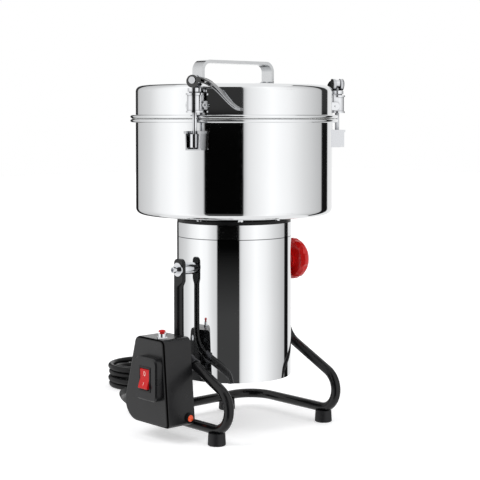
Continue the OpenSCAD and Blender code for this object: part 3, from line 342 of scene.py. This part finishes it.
def lever_steel(name, joint):
    """A cast lever on its joint's pin: painted highlight on the rails and cheek rims, painted shade on the hub,
    sunk web and root.
    """
    pin = Vector(JOINTS[joint]["pos_m"])
    m = Mat(name, (0.7, 0.71, 0.73), 0.12, 1.0)
    local = m.nodes.new("ShaderNodeMapping")
    m.put(local.inputs["Vector"], m.where)
    m.put(local.inputs["Rotation"], (0, 0, -math.atan2(pin.y, pin.x)))
    m.put(local.inputs["Location"], (-math.hypot(pin.x, pin.y), 0, -pin.z))
    from_pin = m.vector("LENGTH", m.vector("MULTIPLY", local.outputs["Vector"], (0, 1, 1)))
    from_middle = m.math("ABSOLUTE", m.split(local.outputs["Vector"])["X"])
    # Painted shade on the sunk web and the hub, painted highlight on the rails and the cheek rims
    web_painted_shade = m.cloud((0.05, 0.05, 0.055), (0.08, 0.08, 0.085), 60)
    hub_painted_shade = m.cloud((0.11, 0.11, 0.11), (0.08, 0.08, 0.08), 80)
    rail_painted_highlight = m.cloud((0.56, 0.57, 0.59), (0.48, 0.49, 0.51), 60)
    edge = m.mix(m.span(from_pin, 0, 1, *ROOT_END), hub_painted_shade, rail_painted_highlight)
    arm = m.mix(m.span(from_middle, 0, 1, *RAIL_START), web_painted_shade, edge)
    cheek = m.mix(m.span(from_middle, 0, 1, *CHEEK_FACE), rail_painted_highlight, hub_painted_shade)
    m.set("Base Color", m.mix(m.span(from_pin, 0, 1, *CHEEK_END), cheek, arm))
    m.set("Roughness", m.span(m.noise(200, 3), 0.10, 0.22))
    m.bump(m.noise(700, 2), 0.00002, 0.4)
    return m.mat


def lamp_lens():
    m = Mat("amber_lens", (1.0, 0.12, 0.02), 0.12, Coat_Weight=0.5, Emission_Strength=0.22)
    m.set("Emission Color", (1.0, 0.13, 0.02, 1))
    m.set("Base Color", m.cloud((0.86, 0.09, 0.02), (0.74, 0.06, 0.012), 300))
    m.set("Roughness", m.span(m.noise(400, 2), 0.08, 0.16))
    m.bump(m.noise(500, 2), 0.00002, 0.5)
    return m.mat


def make_materials():
    return {
        "polished_steel": polished("mirror_steel"),
        "motor_steel": motor_steel(),
        "bright_steel": polished("bright_plating", PLATING, 0.06, 0.14),
        "latch_steel": latch_steel(),
        "catch_steel": polished("catch_plating", (0.64, 0.65, 0.67), 0.12, 0.22),
        "lever_left": lever_steel("lever_left_steel", "lever_left_turn"),
        "lever_right": lever_steel("lever_right_steel", "lever_right_turn"),
        "handle_steel": brushed("handle_brush", (0.66, 0.67, 0.68), (1, 10, 10), 0.10, 0.20),
        "blade_steel": brushed("ground_blade", (0.78, 0.79, 0.80), (1, 12, 12)),
        "clamp_steel": brushed("blackened_clamp", (0.07, 0.07, 0.075), (1, 8, 1)),
        "core_steel": brushed("bare_core", (0.42, 0.43, 0.45), (1, 1, 20)),
        "cast_grey": moulded("cast_cap", (0.42, 0.43, 0.45), 0.4, 0.6, 300, 0.0002),
        "black_bar": moulded("bar_enamel", (0.0035, 0.0035, 0.004), 0.1, 0.18, 700, 0.00002, shine=0.3),
        "ring_black": moulded("ring_enamel", (0.004, 0.004, 0.0045), 0.3, 0.42, shine=0.2),
        "rubber": moulded("foot_rubber", (0.006, 0.006, 0.007), 0.4, 0.55, 900, 0.00006, shine=0.3),
        "red_knob": moulded("knob_red", (0.58, 0.006, 0.005), 0.12, 0.2, 500, 0.00003, shine=0.45),
        "red_plastic": moulded("button_red", (0.50, 0.005, 0.006), 0.2, 0.3, 500, 0.00002, shine=0.25),
        "box_plastic": box_satin(),
        "dark_plastic": moulded("dark_moulding", (0.004, 0.004, 0.0045), 0.28, 0.4, shine=0.3),
        "cord_black": moulded("cord_sheath", (0.004, 0.004, 0.0045), 0.3, 0.42, 900, 0.00004, shine=0.2),
        "copper": brushed("winding_copper", (0.72, 0.36, 0.18), (1, 12, 12)),
        "seal_white": moulded("silicone", (0.7, 0.69, 0.65), 0.4, 0.5),
        "amber_lens": lamp_lens(),
    }


# Nodes with a finish of their own, apart from their slot's
OWN_FINISH = {"motor_housing": "motor_steel", "lid_handle": "handle_steel", "cam_lever_left": "lever_left",
              "cam_lever_right": "lever_right", "latch_catches": "catch_steel"}


def dress_nodes(mats):
    slots = {p["node"]: p["material_slot"] for p in frame["record"]["subparts"]}
    for node, name in slots.items():
        obj = frame["nodes"][node]
        mat = mats[OWN_FINISH.get(node, name)]
        if not obj.material_slots:
            obj.data.materials.append(mat)
        for s in obj.material_slots:
            s.material = mat


# Pieces that only the looks need
def add_mesh(name, bm, mat, body):
    mesh = bpy.data.meshes.new(name)
    bm.to_mesh(mesh)
    bm.free()
    obj = bpy.data.objects.new(name, mesh)
    obj.data.materials.append(mat)
    bpy.context.collection.objects.link(obj)
    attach(obj, body)


def outline_mesh(outer, inner, place, across, up, thick):
    """A flat band between two outlines of the same number of points, as a thin closed solid."""
    bm = bmesh.new()
    out = across.cross(up).normalized() * thick
    rows = [[bm.verts.new(place + across * x + up * y + lift) for x, y in line]
            for line in (outer, inner) for lift in (Vector(), out)]
    n = len(outer)
    low_out, top_out, low_in, top_in = rows
    for a, b in ((low_out, top_out), (top_out, top_in), (top_in, low_in), (low_in, low_out)):
        for i in range(n):
            j = (i + 1) % n
            bm.faces.new((a[i], a[j], b[j], b[i]))
    bmesh.ops.recalc_face_normals(bm, faces=bm.faces)
    return bm


def oval(w, h, n=40):
    return [(w * math.cos(2 * math.pi * i / n), h * math.sin(2 * math.pi * i / n)) for i in range(n)]


# The rocker's face in millimetres: its fold's place from the pin, how far its ends stand out, their height
FACE_X = -2.4
FACE_RISE = 2
FACE_H = 11
ROCKER_TILT = math.radians(9)
# How far out each mark sits between the fold and the face's end
MARK_AT = 0.56
MARK_T = 0.06
MARKS = [
    ("mark_off", 1, oval(1.8, 2.9), oval(1.15, 2.25)),
    ("mark_on", -1, oval(0.35, 2.2), oval(0.02, 1.9)),
]


def tilted(x, z):
    """A place or direction on the rocker, turned with it."""
    cos, sin = math.cos(ROCKER_TILT), math.sin(ROCKER_TILT)
    return Vector((x * cos + z * sin, 0, z * cos - x * sin))


def switch_marks(mat):
    """The O and I printed on the two faces of the rocker, which turn with it."""
    pin = Vector(JOINTS["rocker_press"]["pos_m"]) / MM
    for name, half, outer, inner in MARKS:
        place = pin + tilted(FACE_X - FACE_RISE * MARK_AT, half * FACE_H * MARK_AT)
        lean = math.atan2(FACE_RISE, FACE_H) * half
        up = tilted(-math.sin(lean), math.cos(lean))
        bm = outline_mesh(outer, inner, place, Vector((0, -1, 0)), up, MARK_T)
        bmesh.ops.scale(bm, vec=(MM, MM, MM), verts=bm.verts)
        add_mesh(name, bm, mat, "rocker")


def stage_card(name, verts, mat, faces):
    """A sheet of the studio that only reflections see."""
    mesh = bpy.data.meshes.new(name)
    mesh.from_pydata(verts, [], faces)
    obj = bpy.data.objects.new(name, mesh)
    mesh.materials.append(mat)
    bpy.context.collection.objects.link(obj)
    obj.visible_camera = False
    obj.visible_diffuse = False
    obj.visible_shadow = False
    obj.visible_transmission = False
    return obj


# Studio, as the steel shows it: light and dark sheets in turn, one to a row. Each pair is an angle round the
# mill in degrees, counted from the camera and growing to its right, and the light there.
STUDIO_HIGH = [
    (-180, 0.80), (-166, 0.78),
    (-165, 0.006), (-148, 0.006),
    (-146, 0.48), (-110, 0.66), (-92, 0.85), (-69, 1.0), (-55, 0.93), (-43, 0.72), (-34, 0.62),
    (-33, 0.001), (10, 0.001),
    (11, 0.52), (15, 0.72), (21, 0.80), (43, 1.0), (64, 0.88), (86, 0.68), (104, 0.55), (119, 0.45),
    (120, 0.006), (136, 0.006),
    (138, 0.70), (180, 0.80),
]
FRONT_SHEET = (-33, 10)
# Above the lid the dark sheets are a little lighter, and the one in front is lighter near the floor
STUDIO_TOP = [(angle, max(light, 0.03)) for angle, light in STUDIO_HIGH]
STUDIO_LOW = [(angle, 0.045 if angle in FRONT_SHEET else light) for angle, light in STUDIO_HIGH]
RING_R = 2.3
RING_LOW = -1.6
RING_HIGH = 3.4
RING_SIDES = 144
RING_LIGHT = 1.28
# Heights between which the ring's low stretch gives way to the middle one, and that to the top one
LOW_ENDS = (-0.20, 0.0)
TOP_STARTS = (0.392, 0.41)


def ramp(graph, share, stops):
    """Light by the turn round the ring, from a list of angles."""
    node = graph.nodes.new("ShaderNodeValToRGB")
    points = node.color_ramp.elements
    for angle, light in stops[1:-1]:
        points.new((angle + 180) / 360).color = (light, light, light, 1)
    points[0].color = (stops[0][1],) * 3 + (1,)
    points[len(points) - 1].color = (stops[-1][1],) * 3 + (1,)
    graph.put(node.inputs["Fac"], share)
    return node.outputs["Color"]


def studio_glow(mat):
    mat.use_nodes = True
    graph = Graph(mat.node_tree)
    graph.nodes.clear()
    around = graph.nodes.new("ShaderNodeAttribute")
    around.attribute_name = "turn"
    height = graph.split(graph.place())["Z"]
    heights = (STUDIO_LOW, STUDIO_HIGH, STUDIO_TOP)
    low, middle, top = (ramp(graph, around.outputs["Fac"], stops) for stops in heights)
    lower = graph.mix(graph.span(height, 0, 1, *LOW_ENDS), low, middle)
    glow = graph.nodes.new("ShaderNodeEmission")
    graph.put(glow.inputs["Strength"], RING_LIGHT)
    graph.put(glow.inputs["Color"], graph.mix(graph.span(height, 0, 1, *TOP_STARTS), lower, top))
    graph.put(graph.nodes.new("ShaderNodeOutputMaterial").inputs[0], glow.outputs[0])


def make_studio():
    """A ring of light and dark sheets round the mill that only its shiny faces show."""
    verts = []
    for i in range(RING_SIDES + 1):
        spot = polar(math.radians(-180 + 360 * i / RING_SIDES), RING_R)
        verts += [(spot.x, spot.y, RING_LOW), (spot.x, spot.y, RING_HIGH)]
    faces = [(2 * i, 2 * i + 2, 2 * i + 3, 2 * i + 1) for i in range(RING_SIDES)]
    mat = bpy.data.materials.new("studio_sheets")
    ring = stage_card("studio_ring", verts, mat, faces)
    turn = ring.data.attributes.new("turn", "FLOAT", "POINT")
    for i in range(RING_SIDES + 1):
        turn.data[2 * i].value = turn.data[2 * i + 1].value = i / RING_SIDES
    studio_glow(mat)


# Floor
FLOOR_HALF = 6.0
FLOOR_GREY = (0.80, 0.80, 0.81)
# The floor's own light, for the eye alone: near the mill, and out where it fades to the white background
GLOW_NEAR = 0.46
GLOW_FAR = 0.6
NEAR_R = 0.3
FAR_R = 1.2


def floor_white():
    mat = bpy.data.materials.new("floor_white")
    mat.use_nodes = True
    graph = Graph(mat.node_tree)
    main = graph.nodes["Principled BSDF"]
    main.inputs["Base Color"].default_value = rgba(FLOOR_GREY)
    main.inputs["Roughness"].default_value = 0.6
    main.inputs["Specular IOR Level"].default_value = 0.15
    glow = graph.nodes.new("ShaderNodeEmission")
    from_mill = graph.vector("LENGTH", graph.place())
    graph.put(glow.inputs["Strength"], graph.span(from_mill, GLOW_NEAR, GLOW_FAR, NEAR_R, FAR_R))
    both = graph.nodes.new("ShaderNodeAddShader")
    graph.put(both.inputs[0], main.outputs[0])
    graph.put(both.inputs[1], glow.outputs[0])
    pick = graph.nodes.new("ShaderNodeMixShader")
    for socket, value in zip(pick.inputs, (graph.seen_directly(), main.outputs[0], both.outputs[0])):
        graph.put(socket, value)
    graph.put(graph.nodes["Material Output"].inputs[0], pick.outputs[0])
    return mat


def make_floor():
    mesh = bpy.data.meshes.new("floor")
    corners = [(x * FLOOR_HALF, y * FLOOR_HALF, 0) for x, y in ((-1, -1), (1, -1), (1, 1), (-1, 1))]
    mesh.from_pydata(corners, [], [(0, 1, 2, 3)])
    floor = bpy.data.objects.new("floor", mesh)
    bpy.context.collection.objects.link(floor)
    mesh.materials.append(floor_white())
    floor.visible_glossy = False


# Light: the world as it falls on things and as it is seen, and two soft lamps
LIGHT_AIM = Vector((0, 0, 0.2))
WORLD_LIGHT = 0.62
WORLD_SEEN = 1.0


def area_light(name, angle, radius, z, size, power):
    data = bpy.data.lights.new(name, "AREA")
    data.size = size
    data.energy = power
    lamp = bpy.data.objects.new(name, data)
    bpy.context.collection.objects.link(lamp)
    lamp.visible_glossy = False
    lamp.location = polar(math.radians(angle), radius, z)
    lamp.rotation_euler = (LIGHT_AIM - lamp.location).to_track_quat("-Z", "Y").to_euler()


def make_light():
    world = bpy.data.worlds.new("studio")
    bpy.context.scene.world = world
    world.use_nodes = True
    graph = Graph(world.node_tree)
    back = graph.nodes["Background"]
    back.inputs["Color"].default_value = (1, 1, 1, 1)
    graph.put(back.inputs["Strength"], graph.span(graph.seen_directly(), WORLD_LIGHT, WORLD_SEEN, 0, 1))
    area_light("key", -55, 1.7, 1.9, 1.2, 22)
    area_light("fill", 60, 2.0, 1.6, 1.6, 14)


make_camera()
cord = make_cord()
mats = make_materials()
dress_nodes(mats)
cord.data.materials.append(mats["cord_black"])
switch_marks(moulded("mark_pale", (0.86, 0.62, 0.55), 0.4, 0.5))
make_studio()
make_floor()
make_light()

bpy.context.scene.view_settings.view_transform = "Standard"
